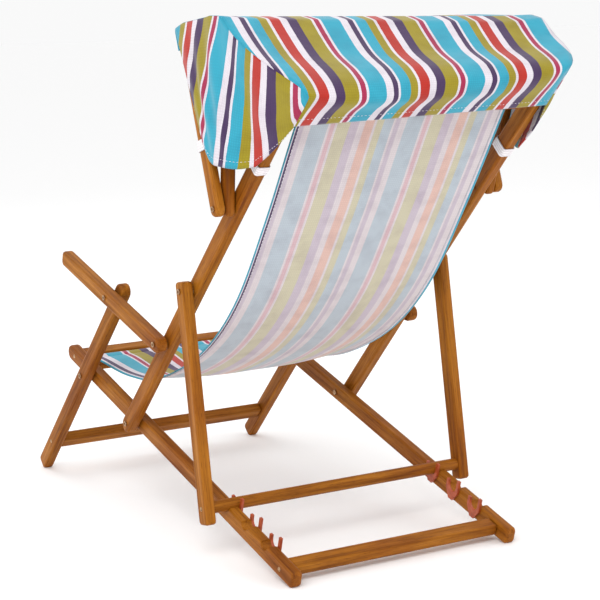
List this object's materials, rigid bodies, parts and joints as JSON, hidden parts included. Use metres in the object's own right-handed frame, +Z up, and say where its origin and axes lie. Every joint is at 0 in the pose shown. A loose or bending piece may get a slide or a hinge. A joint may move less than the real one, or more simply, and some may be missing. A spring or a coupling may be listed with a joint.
{
  "type": "folding deckchair with sun canopy",
  "caption": "Folding wooden deckchair with armrests, notched reclining positions, a striped fabric sling and a striped sun canopy on tilting hoops.",
  "frame": {"origin": "on the floor, below the middle of the chair", "axes": "+Z up; the sitter faces -Y and has +X on the left hand"},
  "size_m": [0.6346, 1.1832, 1.0047],
  "materials": {
    "oiled_hardwood": "satin",
    "zinc_plated_steel": "satin",
    "red_oxide_painted_steel": "satin",
    "striped_sling_cotton": "matt",
    "striped_canopy_cotton": "matt",
    "white_elastic": "matt"
  },
  "bodies": {
    "seat_frame": {"seat_rail_left": "oiled_hardwood", "seat_rail_right": "oiled_hardwood", "seat_front_bar": "oiled_hardwood", "seat_under_bar": "oiled_hardwood", "rear_cross_bar": "oiled_hardwood", "stop_clip_left_1": "red_oxide_painted_steel", "stop_clip_left_2": "red_oxide_painted_steel", "stop_clip_left_3": "red_oxide_painted_steel", "stop_clip_right_1": "red_oxide_painted_steel", "stop_clip_right_2": "red_oxide_painted_steel", "stop_clip_right_3": "red_oxide_painted_steel", "seat_front_screw_left": "zinc_plated_steel", "seat_front_screw_right": "zinc_plated_steel", "rear_bar_screw_left": "zinc_plated_steel", "rear_bar_screw_right": "zinc_plated_steel", "back_pivot_bolt_left": "zinc_plated_steel", "back_pivot_bolt_right": "zinc_plated_steel", "leg_pivot_bolt_left": "zinc_plated_steel", "leg_pivot_bolt_right": "zinc_plated_steel", "front_hem_rod": "oiled_hardwood", "sling": "striped_sling_cotton"},
    "back_frame": {"back_rail_left": "oiled_hardwood", "back_rail_right": "oiled_hardwood", "back_top_bar": "oiled_hardwood", "back_under_bar": "oiled_hardwood", "back_top_screw_left": "zinc_plated_steel", "back_top_screw_right": "zinc_plated_steel", "arm_rear_bolt_left": "zinc_plated_steel", "arm_rear_bolt_right": "zinc_plated_steel", "prop_pivot_bolt_left": "zinc_plated_steel", "prop_pivot_bolt_right": "zinc_plated_steel", "hoop_pivot_bolt_left": "zinc_plated_steel", "hoop_pivot_bolt_right": "zinc_plated_steel", "top_hem_rod": "oiled_hardwood", "canopy": "striped_canopy_cotton", "rail_elastic_left": "white_elastic", "rail_elastic_right": "white_elastic"},
    "front_leg_frame": {"front_leg_left": "oiled_hardwood", "front_leg_right": "oiled_hardwood", "front_leg_bar": "oiled_hardwood", "leg_bar_screw_left": "zinc_plated_steel", "leg_bar_screw_right": "zinc_plated_steel"},
    "armrest_left": {"armrest_left": "oiled_hardwood", "arm_front_bolt_left": "zinc_plated_steel"},
    "armrest_right": {"armrest_right": "oiled_hardwood", "arm_front_bolt_right": "zinc_plated_steel"},
    "prop_frame": {"prop_leg_left": "oiled_hardwood", "prop_leg_right": "oiled_hardwood", "prop_dowel": "oiled_hardwood", "dowel_screw_left": "zinc_plated_steel", "dowel_screw_right": "zinc_plated_steel"},
    "canopy_front_hoop": {"canopy_front_arm_left": "oiled_hardwood", "canopy_front_arm_right": "oiled_hardwood", "canopy_front_bar": "oiled_hardwood", "arm_elastic_left": "white_elastic", "arm_elastic_right": "white_elastic"},
    "canopy_rear_hoop": {"canopy_rear_arm_left": "oiled_hardwood", "canopy_rear_arm_right": "oiled_hardwood", "canopy_rear_bar": "oiled_hardwood"}
  },
  "joints": [
    {"name": "back_fold", "type": "hinge", "parent": "seat_frame", "child": "back_frame", "pos_m": [0, -0.13647, 0.18659], "axis": [1, 0, 0], "range_deg": [0, 100], "deforming": ["sling"]},
    {"name": "front_leg_fold", "type": "hinge", "parent": "seat_frame", "child": "front_leg_frame", "pos_m": [0, -0.35083, 0.24805], "axis": [1, 0, 0], "range_deg": [0, 100]},
    {"name": "armrest_left_fold", "type": "hinge", "parent": "back_frame", "child": "armrest_left", "pos_m": [0, 0.05248, 0.38225], "axis": [-1, 0, 0], "range_deg": [0, 100]},
    {"name": "armrest_right_fold", "type": "hinge", "parent": "back_frame", "child": "armrest_right", "pos_m": [0, 0.05248, 0.38225], "axis": [-1, 0, 0], "range_deg": [0, 100]},
    {"name": "prop_swing", "type": "hinge", "parent": "back_frame", "child": "prop_frame", "pos_m": [0, 0.16571, 0.4995], "axis": [1, 0, 0], "range_deg": [0, 115]},
    {"name": "canopy_front_tilt", "type": "hinge", "parent": "back_frame", "child": "canopy_front_hoop", "pos_m": [0, 0.32965, 0.66926], "axis": [-1, 0, 0], "range_deg": [0, 50], "deforming": ["canopy"]},
    {"name": "canopy_rear_tilt", "type": "hinge", "parent": "back_frame", "child": "canopy_rear_hoop", "pos_m": [0, 0.32965, 0.66926], "axis": [-1, 0, 0], "range_deg": [0, 35.5]}
  ],
  "couplings": [
    {"joint": "front_leg_fold", "follows": "back_fold", "ratio": 1},
    {"joint": "armrest_left_fold", "follows": "back_fold", "ratio": 1},
    {"joint": "armrest_right_fold", "follows": "back_fold", "ratio": 1},
    {"joint": "canopy_rear_tilt", "follows": "canopy_front_tilt", "ratio": 0.7}
  ]
}
